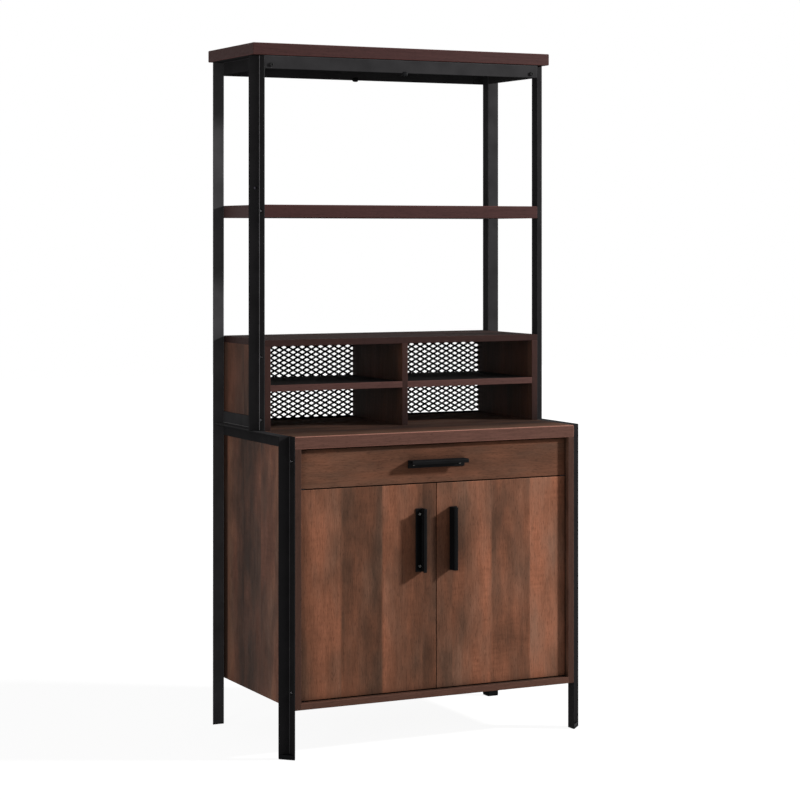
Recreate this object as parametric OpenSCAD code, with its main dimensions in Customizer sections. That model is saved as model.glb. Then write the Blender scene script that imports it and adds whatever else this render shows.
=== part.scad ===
// Storage hutch: a base cabinet with one drawer and two doors, with an open-shelf hutch on top.
// Front faces -Y, Z is up, the origin is on the floor under the middle of the whole object.

/* [Overall] */
// Width over the metal frame
frame_w = 846; // [700:1:1100]
// Depth of the base frame, front leg edge to rear leg edge
base_d = 493; // [420:1:600]
// Height of the counter surface above the floor
counter_z = 785; // [700:1:900]
// Height of the top board's surface above the floor
total_h = 1757; // [1600:1:2000]
// How far the hutch stands back from the front of the base
hutch_set = 190; // [120:1:240]

/* [Steel frame] */
// Width of each flange of the angle sections
angle_w = 31; // [25:1:38]
// Height of the rails under the top board
top_rail_h = 34; // [28:1:45]
// Thickness of the sheet that the sections are bent from
steel_t = 2; // [1.5:0.1:3]
// Outer radius of the bend in a section
bend_r = 3; // [2.5:0.1:4]
// Height of a plastic foot
cap_h = 11; // [8:1:20]
// Thickness of a foot under the end of its leg
cap_floor = 3; // [2:0.5:6]
// Clearance between a leg's flanges and the plug of its foot
cap_gap = 0.2; // [0.1:0.05:0.3]
// How far the plug steps back from the edge of its foot
cap_step = 2; // [1:0.5:4]
// Length of the tabs that the front and rear top rails are bolted to
tab_w = 30; // [28:1:40]

/* [Boards] */
// Thickness of the panels of the cabinet and of the cubby unit
panel_t = 16; // [12:1:19]
// Thickness of the counter
counter_t = 31; // [25:1:40]
// Thickness of the top board
top_t = 30; // [20:1:40]
// How far the top board sticks out past the frame at each side
top_over_x = 2; // [1.8:0.1:10]
// How far the top board sticks out in front of the posts
top_over_front = 5; // [0:1:15]
// How far the top board stays in front of the rear of the frame
top_in_rear = 2; // [0:1:10]
// Thickness of the upper shelf
shelf_t = 32; // [20:1:40]
// Height of the upper shelf's surface
shelf_z = 1352; // [1200:1:1500]
// Softened edge of the thick boards
ease = 1.5; // [0.5:0.1:3]
// Thickness of the cabinet's back panel
back_t = 4; // [3:0.5:8]
// Height of the cabinet's underside above the floor
carcass_z = 120; // [80:1:180]

/* [Cubby unit] */
// Clear height of each cubby
cubby_h = 97.5; // [80:0.5:140]
// Thickness of the mesh sheets
mesh_t = 1.6; // [1:0.1:3]
// Long pitch of the diamonds, across the sheet
mesh_px = 44; // [44:1:60]
// Short pitch of the diamonds, up the sheet
mesh_pz = 22; // [22:1:32]
// Width of a strand between two diamonds
strand = 4; // [2.5:0.1:6]
// Plain border of a mesh sheet inside each cubby
mesh_border = 5; // [3:1:10]

/* [Drawer and doors] */
// How far the fronts stand back from the front of the cabinet
front_recess = 14; // [8:1:20]
// Gap beside and between the doors and the drawer front
side_gap = 2.5; // [2.4:0.1:4]
// Gap above and below the doors and the drawer front
row_gap = 3; // [2.6:0.1:5]
// Height of the drawer front
drawer_h = 95; // [80:1:160]
// Space behind the fronts, up to the stretcher
rear_gap = 2; // [1.8:0.1:5]
// Depth of the stretcher between drawer and doors
stretcher_d = 60; // [40:1:100]
// Length of the drawer box behind its front
box_d = 400; // [340:1:410]
// Height of the drawer box
box_h = 68; // [56:1:70]
// Thickness of the drawer box's sides and back
box_t = 12; // [10:1:15]
// Thickness of the drawer bottom
bottom_t = 4; // [3:0.5:6]
// Depth of the groove that holds the drawer bottom
groove = 6; // [4:0.5:8]
// Clearance of the drawer bottom in its groove
groove_gap = 0.2; // [0.1:0.05:0.3]
// Width of each drawer slide, cabinet side to drawer side
slide_w = 13; // [12.5:0.1:16]
// Height of the cabinet member of a slide
slide_h = 35; // [28:1:42]
// Sheet thickness of the slide members
slide_t = 1.2; // [1:0.1:1.5]
// Running clearance between the two members of a slide
slide_gap = 0.3; // [0.2:0.05:0.5]
// Height of the inner shelf's underside above the cabinet's bottom panel
inner_shelf_up = 249; // [150:1:350]
// Clearance at each end of the inner shelf
inner_shelf_gap = 1; // [0.5:0.1:2]
// Diameter of the shelf pins
pin_d = 5; // [4:0.5:8]
// Length of a shelf pin inside the cabinet
pin_out = 12; // [8:1:20]
// Length of a shelf pin inside the side panel
pin_in = 9; // [6:0.5:10]

/* [Door pivots] */
// Distance of the pivot axis from the door's front face and from its outer edge
pivot_in = 5; // [4.5:0.1:5.4]
// Diameter of the pivot pin
pivot_d = 5; // [4:0.1:6]
// Length of the pivot pin inside the door
pivot_len = 9; // [6:1:15]
// Radial running clearance of the pivot pin in the door
pivot_gap = 0.05; // [0.02:0.01:0.1]
// Thickness of the pivot bracket
bracket_t = 1.5; // [1:0.1:1.6]
// Width of the pivot bracket
bracket_w = 16; // [12:1:24]
// How far the pivot bracket runs back behind the door
bracket_back = 34; // [20:1:40]

/* [Pulls] */
// Length of a pull
pull_l = 158; // [120:1:200]
// Width of the flange that is screwed to the front
pull_flange = 20; // [18:1:30]
// How far the pull stands out from the front
pull_out = 27; // [22:1:40]
// Width of the lip that the fingers hook behind
pull_lip = 10; // [6:1:12]
// Sheet thickness of the pull
pull_t = 2.5; // [1.5:0.1:3]
// Bend radius of the pull
pull_r = 3.5; // [3.2:0.1:5]
// Distance of each door pull from the middle of the cabinet
pull_x = 38; // [25:1:60]
// Distance of the door pulls' upper end from the upper edge of the doors
pull_down = 61; // [30:1:120]
// Distance between the two screws of a pull
pull_screws = 130; // [96:1:140]

/* [Screws] */
// Diameter of a screw head
head_d = 8; // [6:0.5:10]
// Height of a screw head
head_h = 2.4; // [1.5:0.1:4]
// Diameter of a screw shank
shank_d = 4; // [3:0.5:5]
// Length of a frame screw, below its head
shank_l = 14; // [8:1:14]
// Diameter of a bolt head in the top rails
bolt_head = 10; // [8:0.5:13]
// Height of a bolt head in the front top rail
bolt_tall = 4; // [2:0.5:5]
// Height of a bolt head in the rear top rail
bolt_low = 1.5; // [1:0.1:1.6]
// Diameter of a bolt in the top rails
bolt_d = 6; // [5:0.5:8]
// Distance of the lower leg screws from the cabinet's underside
low_screw = 41; // [25:1:60]
// Distance of the upper leg screws from the counter's underside
high_screw = 29; // [20:1:60]
// Distance of the cubby screws from the lower and upper edges of the cubby sides
cubby_screw = 26.5; // [20:0.5:40]
// Distance of a rail bolt from the side panel's plane
bolt_in = 18; // [14:1:20]
// Distance of a rail bolt from the lower edge of its rail
bolt_up = 10; // [8:1:16]

/* [Hidden] */

// A cut runs this far past the face that it opens
past = 1;

// Bores are this much wider than the screws and pins in them
shank_bore = shank_d + 0.2;
pin_bore = pin_d + 0.1;

STEEL = "#2b2a2b";
BOARD = "#5d4238";
FRONTS = "#74503f";
PLASTIC = "#1b1b1c";
ZINC = "#a9abad";

// The whole depth is centred on the origin: pulls at the front, legs at the rear
pull_proud = pull_out - front_recess;
front_y = (pull_proud - base_d) / 2;
rear_y = front_y + base_d;
post_y = front_y + hutch_set;

// The steel angles lie flat against this plane, which is also the outer face of the side panels
side_x = frame_w / 2 - angle_w;
inner_x = side_x - panel_t;
frame_top = total_h - top_t;

// A foot's plug stands off the leg's flanges by its clearance, and its plate has small cut corners
plug_in = steel_t + cap_gap;
plug_w = angle_w - plug_in - cap_step;
cap_cut = steel_t / 2;
counter_under = counter_z - counter_t;
back_y = rear_y - back_t;

// Drawer front and doors, from the counter down
face_y = front_y + front_recess;
face_x = inner_x - side_gap;
drawer_top = counter_under - row_gap;
drawer_low = drawer_top - drawer_h;
door_top = drawer_low - row_gap;
door_low = carcass_z + panel_t + row_gap;
door_w = face_x - side_gap / 2;
behind_y = face_y + panel_t + rear_gap;
pivot_x = face_x - pivot_in;
pivot_y = face_y + pivot_in;

// Drawer box and its slides
box_x = inner_x - slide_w;
box_y = face_y + panel_t;
box_low = (drawer_low + drawer_top - box_h) / 2;
box_mid = box_low + box_h / 2;
bottom_z = box_low + 8;
slide_y = behind_y;
slide_l = box_d - 2 * rear_gap;
runner_h = slide_h - 2 * slide_t - 2 * slide_gap;

// Stretcher and inner shelf
stretcher_z = (drawer_low + door_top - bracket_t) / 2 - panel_t;
inner_shelf_z = carcass_z + panel_t + inner_shelf_up;
pin_front = front_y + 0.2 * base_d;
pin_rear = rear_y - 0.16 * base_d;
inner_shelf_y = behind_y + rear_gap;

// Cubby unit
cubby_mid = counter_z + cubby_h;
cubby_top_z = cubby_mid + panel_t + cubby_h;
cubby_back = rear_y - mesh_t;

// Pulls
pull_mid = (drawer_low + drawer_top) / 2;
pull_screw_z = -pull_flange / 2;
pull_bore_l = 0.75 * panel_t;
door_pull_z = door_top - pull_down - pull_l / 2;

// Screws: the middle of each angle flange, and the heights on legs and posts
flange_mid = angle_w / 2;
leg_screw_z = [carcass_z + low_screw, counter_under - high_screw];
post_screw_z = [counter_z + cubby_screw, cubby_top_z - cubby_screw, shelf_z - shelf_t / 2];
screw_y = [front_y + flange_mid, rear_y - flange_mid];
post_screw_y = [post_y + flange_mid, rear_y - flange_mid];
bolt_x = side_x - bolt_in;
bolt_z = frame_top - top_rail_h + bolt_up;

$fn = 40;

// Makes the right-hand copy of a left-hand piece
module right() {
    mirror([1, 0, 0])
        children();
}

// Quarter of material outside a circle of radius r, with its sharp corner at the origin
module corner(r) {
    difference() {
        square(r);
        translate([r, r])
            circle(r);
    }
}

// Bent angle section: outer corner at the origin, flanges along +x and +y
module angle_section(h = angle_w) {
    difference() {
        union() {
            square([angle_w, steel_t]);
            square([steel_t, h]);
            translate([steel_t, steel_t])
                corner(bend_r - steel_t);
        }
        corner(bend_r);
    }
}

// Left angle that stands upright, one flange outward, the other one forward or back
module upright(y, low, high, back) {
    translate([-side_x, y, low])
        mirror([0, back ? 1 : 0, 0])
            rotate(180)
                linear_extrude(high - low)
                    angle_section();
}

// Left side rail along Y, horizontal flange outward at height z, the other one h up or down
module side_rail(y0, y1, z, h, up) {
    translate([-side_x, y1, z])
        rotate([90, 0, 0])
            linear_extrude(y1 - y0)
                mirror([1, 0])
                    mirror([0, up ? 0 : 1])
                        angle_section(h);
}

// Holes or shanks through the left side plane, at every place in ys and zs
module side_holes(ys, zs, d, x0, x1) {
    for (y = ys)
        for (z = zs)
            translate([x0, y, z])
                rotate([0, 90, 0])
                    cylinder(d = d, h = x1 - x0);
}

// Pan-head screw along +Y with its head in front of the origin, and a cross recess
module screw(head = head_d, tall = head_h, shank = shank_d, long = shank_l) {
    rotate([-90, 0, 0]) {
        difference() {
            translate([0, 0, -tall])
                cylinder(d = head, h = tall);
            for (turn = [0, 90])
                rotate(turn)
                    translate([-head * 0.3, -head * 0.08, -tall - past])
                        cube([head * 0.6, head * 0.16, past + tall * 0.5]);
        }
        cylinder(d = shank, h = long);
    }
}

// Screws through the left side plane
module side_screws(ys, zs) {
    for (y = ys)
        for (z = zs)
            translate([-side_x - steel_t, y, z])
                rotate(-90)
                    screw();
}

module leg_front() {
    color(STEEL)
        difference() {
            upright(front_y + angle_w, cap_floor, counter_z, false);
            side_holes([screw_y[0]], leg_screw_z, shank_bore, -side_x - steel_t - past, -side_x + past);
        }
}

module leg_rear() {
    color(STEEL)
        difference() {
            upright(rear_y - angle_w, cap_floor, counter_z, true);
            side_holes([screw_y[1]], leg_screw_z, shank_bore, -side_x - steel_t - past, -side_x + past);
        }
}

module leg_front_left() { leg_front(); }
module leg_front_right() { right() leg_front(); }
module leg_rear_left() { leg_rear(); }
module leg_rear_right() { right() leg_rear(); }

module base_rail_left() {
    color(STEEL)
        side_rail(front_y + angle_w, rear_y - angle_w, counter_z, angle_w, false);
}

module base_rail_right() { right() base_rail_left(); }

// Three-cornered outline of a foot, with the leg's corner at the origin of the section
module foot_plan() {
    difference() {
        polygon([
            [0, 0], [angle_w - cap_cut, 0], [angle_w, cap_cut],
            [angle_w, steel_t], [steel_t, angle_w],
            [cap_cut, angle_w], [0, angle_w - cap_cut]
        ]);
        corner(bend_r);
    }
}

// Plastic foot of one leg: a plate under the leg's end, and a plug that stands in its angle
module foot_cap() {
    linear_extrude(cap_floor)
        foot_plan();
    translate([plug_in, plug_in, 0])
        linear_extrude(cap_h)
            polygon([
                [bend_r - steel_t, 0], [plug_w, 0],
                [0, plug_w], [0, bend_r - steel_t]
            ]);
}

module foot_caps() {
    color(PLASTIC)
        for (side = [0, 1])
            mirror([side, 0, 0]) {
                translate([-side_x, front_y + angle_w, 0])
                    rotate(180)
                        foot_cap();
                translate([-side_x, rear_y - angle_w, 0])
                    mirror([0, 1, 0])
                        rotate(180)
                            foot_cap();
            }
}

module side_panel_left() {
    color(BOARD)
        difference() {
            translate([-side_x, front_y, carcass_z])
                cube([panel_t, back_y - front_y, counter_under - carcass_z]);
            side_holes(screw_y, leg_screw_z, shank_bore, -side_x - past, -side_x + shank_l - steel_t);
            side_holes([pin_front, pin_rear], [inner_shelf_z - pin_d / 2], pin_bore, -inner_x - pin_in,
                -inner_x + past);
        }
}

module side_panel_right() { right() side_panel_left(); }

module bottom_panel() {
    color(BOARD)
        translate([-inner_x, front_y, carcass_z])
            cube([2 * inner_x, back_y - front_y, panel_t]);
}

// Thick board between two opposite corners, with its long front edges softened
module thick_board(x, y0, y1, z0, z1) {
    translate([-x, 0, 0])
        rotate([90, 0, 90])
            linear_extrude(2 * x)
                polygon([[y0 + ease, z0], [y1, z0], [y1, z1], [y0 + ease, z1], [y0, z1 - ease], [y0, z0 + ease]]);
}

module counter_top() {
    color(BOARD)
        thick_board(side_x, front_y, rear_y, counter_under, counter_z);
}

module back_panel() {
    color(BOARD)
        translate([-side_x, back_y, carcass_z])
            cube([2 * side_x, back_t, counter_under - carcass_z]);
}

module stretcher() {
    color(BOARD)
        translate([-inner_x, behind_y, stretcher_z])
            cube([2 * inner_x, stretcher_d, panel_t]);
}

module inner_shelf() {
    color(BOARD)
        translate([-inner_x + inner_shelf_gap, inner_shelf_y, inner_shelf_z])
            cube([2 * (inner_x - inner_shelf_gap), back_y - rear_gap - inner_shelf_y, panel_t]);
}

module shelf_pins() {
    color(ZINC)
        for (side = [0, 1])
            mirror([side, 0, 0])
                side_holes([pin_front, pin_rear], [inner_shelf_z - pin_d / 2], pin_d, -inner_x - pin_in,
                    -inner_x + pin_out);
}

module leg_screws() {
    color(STEEL)
        for (side = [0, 1])
            mirror([side, 0, 0])
                side_screws(screw_y, leg_screw_z);
}

// Tab at the top of a post; the front or rear rail is bolted to it
module rail_tab() {
    difference() {
        translate([-side_x - steel_t, 0, frame_top - top_rail_h])
            cube([tab_w + steel_t, steel_t, top_rail_h - bend_r]);
        translate([-bolt_x, -past, bolt_z])
            rotate([-90, 0, 0])
                cylinder(d = bolt_d, h = steel_t + 2 * past);
    }
}

module post_front() {
    color(STEEL)
        difference() {
            union() {
                upright(post_y + angle_w, counter_z, frame_top, false);
                translate([0, post_y + steel_t, 0])
                    rail_tab();
            }
            side_holes([post_screw_y[0]], post_screw_z, shank_bore, -side_x - steel_t - past, -side_x + past);
        }
}

module post_rear() {
    color(STEEL)
        difference() {
            union() {
                upright(rear_y - angle_w, counter_z, frame_top, true);
                translate([0, rear_y - 2 * steel_t, 0])
                    rail_tab();
            }
            side_holes([post_screw_y[1]], post_screw_z, shank_bore, -side_x - steel_t - past, -side_x + past);
        }
}

module post_front_left() { post_front(); }
module post_front_right() { right() post_front(); }
module post_rear_left() { post_rear(); }
module post_rear_right() { right() post_rear(); }

module hutch_rail_left() {
    color(STEEL)
        side_rail(post_y + angle_w, rear_y - angle_w, counter_z, angle_w, true);
}

module hutch_rail_right() { right() hutch_rail_left(); }

module top_rail_left() {
    color(STEEL)
        side_rail(post_y + angle_w, rear_y - angle_w, frame_top, top_rail_h, false);
}

module top_rail_right() { right() top_rail_left(); }

// Rail across the hutch, with its outer face on the front plane of the posts
module cross_rail() {
    difference() {
        translate([-side_x, 0, frame_top])
            rotate([90, 0, 90])
                linear_extrude(2 * side_x)
                    mirror([0, 1])
                        angle_section(top_rail_h);
        for (x = [-bolt_x, bolt_x])
            translate([x, -past, bolt_z])
                rotate([-90, 0, 0])
                    cylinder(d = bolt_d, h = steel_t + 2 * past);
    }
}

module top_rail_front() {
    color(STEEL)
        translate([0, post_y, 0])
            cross_rail();
}

module top_rail_rear() {
    color(STEEL)
        translate([0, rear_y, 0])
            mirror([0, 1, 0])
                cross_rail();
}

module rail_bolts() {
    color(STEEL)
        for (x = [-bolt_x, bolt_x]) {
            translate([x, post_y, bolt_z])
                screw(bolt_head, bolt_tall, bolt_d, 3 * steel_t);
            translate([x, rear_y, bolt_z])
                mirror([0, 1, 0])
                    screw(bolt_head, bolt_low, bolt_d, 3 * steel_t);
        }
}

module top_board() {
    top_x = frame_w / 2 + top_over_x;
    top_front = post_y - top_over_front;
    top_rear = rear_y - top_in_rear;
    color(BOARD)
        intersection() {
            thick_board(top_x, top_front, top_rear, frame_top, total_h);
            translate([0, top_rear, 0])
                rotate([90, 0, 0])
                    linear_extrude(top_rear - top_front)
                        polygon([[-top_x + ease, frame_top], [top_x - ease, frame_top],
                            [top_x, frame_top + ease], [top_x, total_h - ease],
                            [top_x - ease, total_h], [-top_x + ease, total_h],
                            [-top_x, total_h - ease], [-top_x, frame_top + ease]]);
        }
}

module upper_shelf() {
    color(BOARD)
        difference() {
            thick_board(side_x, post_y, rear_y, shelf_z - shelf_t, shelf_z);
            for (side = [0, 1])
                mirror([side, 0, 0])
                    side_holes(post_screw_y, [post_screw_z[2]], shank_bore, -side_x - past,
                        -side_x + shank_l - steel_t);
        }
}

module cubby_side_left() {
    color(BOARD)
        difference() {
            translate([-side_x, post_y, counter_z])
                cube([panel_t, cubby_back - post_y, cubby_top_z - counter_z]);
            side_holes(post_screw_y, [post_screw_z[0], post_screw_z[1]], shank_bore, -side_x - past,
                -side_x + shank_l - steel_t);
        }
}

module cubby_side_right() { right() cubby_side_left(); }

module cubby_divider() {
    color(BOARD)
        translate([-panel_t / 2, post_y, counter_z])
            cube([panel_t, cubby_back - post_y, cubby_top_z - counter_z]);
}

module cubby_top() {
    color(BOARD)
        translate([-side_x, post_y, cubby_top_z])
            cube([2 * side_x, cubby_back - post_y, panel_t]);
}

module cubby_shelf_left() {
    color(BOARD)
        translate([-inner_x, post_y, cubby_mid])
            cube([inner_x - panel_t / 2, cubby_back - post_y, panel_t]);
}

module cubby_shelf_right() { right() cubby_shelf_left(); }

// Expanded-metal sheet of one column: rows of diamonds, each second row shifted by half a pitch
module mesh_back_left() {
    x0 = -inner_x + mesh_border;
    x1 = -panel_t / 2 - mesh_border;
    z0 = counter_z + mesh_border;
    z1 = cubby_top_z - mesh_border;
    cols = floor((x1 - x0) / mesh_px);
    rows = floor((z1 - z0) / mesh_pz);
    px = (x1 - x0) / cols;
    pz = (z1 - z0) / rows;
    // Half the diagonals of a hole: the pitch less the strand, measured along each diagonal
    slope = sqrt(px * px + pz * pz);
    half_x = px / 2 - strand * slope / (2 * pz);
    half_z = pz / 2 - strand * slope / (2 * px);
    color(STEEL)
        translate([0, rear_y, 0])
            rotate([90, 0, 0])
                linear_extrude(mesh_t)
                    difference() {
                        translate([-side_x, counter_z])
                            square([side_x, cubby_top_z + panel_t - counter_z]);
                        for (row = [0:2 * rows - 2])
                            for (col = [0:cols - 1 - row % 2])
                                translate([x0 + px * (col + 0.5 + (row % 2) / 2), z0 + pz * (row + 1) / 2])
                                    polygon([[-half_x, 0], [0, -half_z], [half_x, 0], [0, half_z]]);
                    }
}

module mesh_back_right() { right() mesh_back_left(); }

module post_screws() {
    color(STEEL)
        for (side = [0, 1])
            mirror([side, 0, 0])
                side_screws(post_screw_y, post_screw_z);
}

// Groove for the drawer bottom; the cube reaches past all four walls' inner faces by the groove's depth
module bottom_space(gap) {
    inside = box_x - box_t + groove + gap;
    translate([-inside, box_y - groove - gap, bottom_z - gap])
        cube([2 * inside, box_d - box_t + 2 * (groove + gap), bottom_t + 2 * gap]);
}

module drawer_front() {
    color(FRONTS)
        difference() {
            translate([-face_x, face_y, drawer_low])
                cube([2 * face_x, panel_t, drawer_h]);
            bottom_space(groove_gap);
            drawer_pull_place()
                pull_bores();
        }
}

module drawer_side_left() {
    color(BOARD)
        difference() {
            translate([-box_x, box_y, box_low])
                cube([box_t, box_d, box_h]);
            bottom_space(groove_gap);
        }
}

module drawer_side_right() { right() drawer_side_left(); }

module drawer_back() {
    color(BOARD)
        difference() {
            translate([-box_x + box_t, box_y + box_d - box_t, box_low])
                cube([2 * (box_x - box_t), box_t, box_h]);
            bottom_space(groove_gap);
        }
}

module drawer_bottom() {
    color(BOARD)
        bottom_space(0);
}

// Channel section of a pull: screwed flange along -y, web along +x, lip back along -y
module pull_section() {
    difference() {
        union() {
            translate([0, -pull_flange])
                square([pull_t, pull_flange]);
            translate([0, -pull_t])
                square([pull_out, pull_t]);
            translate([pull_out - pull_t, -pull_lip])
                square([pull_t, pull_lip]);
            translate([pull_t, -pull_t])
                mirror([0, 1])
                    corner(pull_r - pull_t);
            translate([pull_out - pull_t, -pull_t])
                rotate(180)
                    corner(pull_r - pull_t);
        }
        translate([pull_out, 0])
            rotate(180)
                corner(pull_r);
    }
}

// Pull along X with its web on top: the front's face is the plane y = 0, the web's top is z = 0
module pull() {
    color(STEEL)
        difference() {
            translate([-pull_l / 2, 0, 0])
                rotate([90, 0, 90])
                    linear_extrude(pull_l)
                        mirror([1, 0])
                            pull_section();
            for (x = [-pull_screws / 2, pull_screws / 2])
                translate([x, -pull_t - past, pull_screw_z])
                    rotate([-90, 0, 0])
                        cylinder(d = shank_bore, h = pull_t + 2 * past);
        }
}

module pull_fasteners() {
    color(ZINC)
        for (x = [-pull_screws / 2, pull_screws / 2])
            translate([x, -pull_t, pull_screw_z])
                screw(head_d, head_h, shank_d, pull_t + pull_bore_l);
}

module pull_bores() {
    for (x = [-pull_screws / 2, pull_screws / 2])
        translate([x, -past, pull_screw_z])
            rotate([-90, 0, 0])
                cylinder(d = shank_bore, h = past + pull_bore_l);
}

module drawer_pull_place() {
    translate([0, face_y, pull_mid + pull_flange / 2])
        children();
}

// Left door pull: turned so that the web faces the middle of the cabinet
module door_pull_place() {
    translate([-pull_x, face_y, door_pull_z])
        rotate([0, 90, 0])
            children();
}

module drawer_pull() {
    drawer_pull_place()
        pull();
}

module drawer_pull_screws() {
    drawer_pull_place()
        pull_fasteners();
}

// Cabinet member of the left slide: a channel that opens towards the drawer
module slide_cabinet_left() {
    reach = slide_w - slide_t;
    color(ZINC)
        translate([-inner_x, slide_y, box_mid - slide_h / 2])
            difference() {
                cube([reach, slide_l, slide_h]);
                translate([slide_t, -past, slide_t])
                    cube([reach, slide_l + 2 * past, slide_h - 2 * slide_t]);
            }
}

module slide_cabinet_right() { right() slide_cabinet_left(); }

// Drawer member of the left slide: a smaller channel that runs inside the cabinet member
module slide_drawer_left() {
    reach = slide_w - 2 * slide_t;
    color(ZINC)
        translate([-box_x - reach, slide_y, box_mid - runner_h / 2])
            difference() {
                cube([reach, slide_l, runner_h]);
                translate([-slide_t, -past, slide_t])
                    cube([reach, slide_l + 2 * past, runner_h - 2 * slide_t]);
            }
}

module slide_drawer_right() { right() slide_drawer_left(); }

// Pivot bracket: a plate with its pin on it, which reaches the door across to_door
module pivot_bracket(to_door) {
    translate([-inner_x, face_y + past, 0])
        cube([bracket_w, behind_y + bracket_back - face_y - past, bracket_t]);
    translate([-pivot_x, pivot_y, 0])
        cylinder(d = pivot_d, h = to_door + pivot_len);
}

// The lower bracket lies on the bottom panel, the upper one on the stretcher with its pin down
module pivot_brackets_left() {
    upper_z = stretcher_z + panel_t + bracket_t;
    color(ZINC) {
        translate([0, 0, carcass_z + panel_t])
            pivot_bracket(row_gap);
        translate([0, 0, upper_z])
            mirror([0, 0, 1])
                pivot_bracket(upper_z - door_top);
    }
}

module pivot_brackets_right() { right() pivot_brackets_left(); }

module door_left() {
    bore = pivot_d + 2 * pivot_gap;
    deep = pivot_len + past;
    color(FRONTS)
        difference() {
            translate([-face_x, face_y, door_low])
                cube([door_w, panel_t, door_top - door_low]);
            translate([-pivot_x, pivot_y, door_low - past])
                cylinder(d = bore, h = deep + past);
            translate([-pivot_x, pivot_y, door_top - deep])
                cylinder(d = bore, h = deep + past);
            door_pull_place()
                pull_bores();
        }
}

module door_right() { right() door_left(); }

module door_pull_left() {
    door_pull_place()
        pull();
}

module door_pull_right() { right() door_pull_left(); }

module door_pull_screws_left() {
    door_pull_place()
        pull_fasteners();
}

module door_pull_screws_right() { right() door_pull_screws_left(); }

leg_front_left();
leg_front_right();
leg_rear_left();
leg_rear_right();
base_rail_left();
base_rail_right();
foot_caps();
side_panel_left();
side_panel_right();
bottom_panel();
counter_top();
back_panel();
stretcher();
inner_shelf();
shelf_pins();
leg_screws();
post_front_left();
post_front_right();
post_rear_left();
post_rear_right();
hutch_rail_left();
hutch_rail_right();
top_rail_left();
top_rail_right();
top_rail_front();
top_rail_rear();
rail_bolts();
top_board();
upper_shelf();
cubby_side_left();
cubby_side_right();
cubby_divider();
cubby_top();
cubby_shelf_left();
cubby_shelf_right();
mesh_back_left();
mesh_back_right();
post_screws();
drawer_front();
drawer_side_left();
drawer_side_right();
drawer_back();
drawer_bottom();
drawer_pull();
drawer_pull_screws();
slide_cabinet_left();
slide_cabinet_right();
slide_drawer_left();
slide_drawer_right();
pivot_brackets_left();
pivot_brackets_right();
door_left();
door_right();
door_pull_left();
door_pull_right();
door_pull_screws_left();
door_pull_screws_right();
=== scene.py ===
"""Looks of the storage hutch: a powder-coated angle-steel frame that holds wood-print panels, with a drawer,
two doors and four open cubbies with expanded-metal backs. Lengths are in metres, in the CAD part's frame."""

import math

import bmesh
import bpy
import numpy as np
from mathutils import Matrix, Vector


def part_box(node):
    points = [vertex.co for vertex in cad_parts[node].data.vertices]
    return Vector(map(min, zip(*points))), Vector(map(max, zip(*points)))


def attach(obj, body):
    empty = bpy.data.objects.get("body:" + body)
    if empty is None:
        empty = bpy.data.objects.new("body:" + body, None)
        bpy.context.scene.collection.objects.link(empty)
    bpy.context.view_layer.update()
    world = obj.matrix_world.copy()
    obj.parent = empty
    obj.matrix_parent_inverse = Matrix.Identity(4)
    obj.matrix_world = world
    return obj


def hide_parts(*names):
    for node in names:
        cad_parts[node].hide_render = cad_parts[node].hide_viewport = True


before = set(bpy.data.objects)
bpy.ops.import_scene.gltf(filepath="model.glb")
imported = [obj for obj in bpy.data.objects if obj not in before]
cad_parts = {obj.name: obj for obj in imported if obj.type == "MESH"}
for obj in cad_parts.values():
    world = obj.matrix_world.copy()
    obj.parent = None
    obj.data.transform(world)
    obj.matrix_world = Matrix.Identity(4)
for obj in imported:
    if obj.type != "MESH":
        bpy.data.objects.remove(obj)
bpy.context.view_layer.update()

MM = 0.001


def linear(code):
    """Turns an sRGB hex code into linear red, green, blue and alpha: v/12.92 below 0.04045, else
    ((v + 0.055) / 1.055) to the power 2.4."""
    values = [int(code[i : i + 2], 16) / 255 for i in (1, 3, 5)]
    return [v / 12.92 if v <= 0.04045 else ((v + 0.055) / 1.055) ** 2.4 for v in values] + [1.0]


def add_node(tree, kind, sockets=None, **properties):
    """Adds one shader node, sets its properties, and sets or links its input sockets."""
    made = tree.nodes.new("ShaderNode" + kind)
    for name, value in properties.items():
        setattr(made, name, value)
    for name, value in (sockets or {}).items():
        if isinstance(value, bpy.types.NodeSocket):
            tree.links.new(value, made.inputs[name])
        else:
            made.inputs[name].default_value = value
    return made


def new_material(name, sockets):
    """A material with one Principled shader. Returns the material, its tree and the shader."""
    material = bpy.data.materials.new(name)
    material.use_nodes = True
    tree = material.node_tree
    tree.nodes.clear()
    shader = add_node(tree, "BsdfPrincipled", sockets)
    add_node(tree, "OutputMaterial", {"Surface": shader.outputs[0]})
    return material, tree, shader


# Most values of a noise pattern lie between these two
NOISE_LOW, NOISE_HIGH = 0.3, 0.7
# A surface lies across an axis where that part of its direction is over this
ACROSS_AXIS = 0.75


def two_toned(tree, pattern, code, dark, light):
    """The colour of code, times dark where a noise pattern is low and times light where it is high."""
    ramp = add_node(tree, "ValToRGB", {0: pattern})
    for stop, part, at in zip(ramp.color_ramp.elements, (dark, light), (NOISE_LOW, NOISE_HIGH)):
        stop.position = at
        stop.color = [v * part for v in linear(code)[:3]] + [1.0]
    return ramp.outputs[0]


def duller_edge_on(tree, shader, roughness, starts, ends):
    """Raises a roughness towards 1 where the surface is seen at a slant, as a matt textured skin does. starts
    and ends are one less the cosine of the angles between which it rises."""
    facing = add_node(tree, "LayerWeight", {"Blend": 0.5})
    grazing = add_node(
        tree,
        "MapRange",
        {"Value": facing.outputs["Facing"], "From Min": starts, "From Max": ends, "To Max": 1.0},
    )
    mixed = add_node(tree, "Mix", {0: grazing.outputs[0], 2: roughness, 3: 1.0})
    tree.links.new(mixed.outputs[0], shader.inputs["Roughness"])


def eased_edges(tree, radius):
    """The surface's direction with every bend and arris rounded by radius."""
    return add_node(tree, "Bevel", {"Radius": radius}, samples=8).outputs[0]


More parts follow.
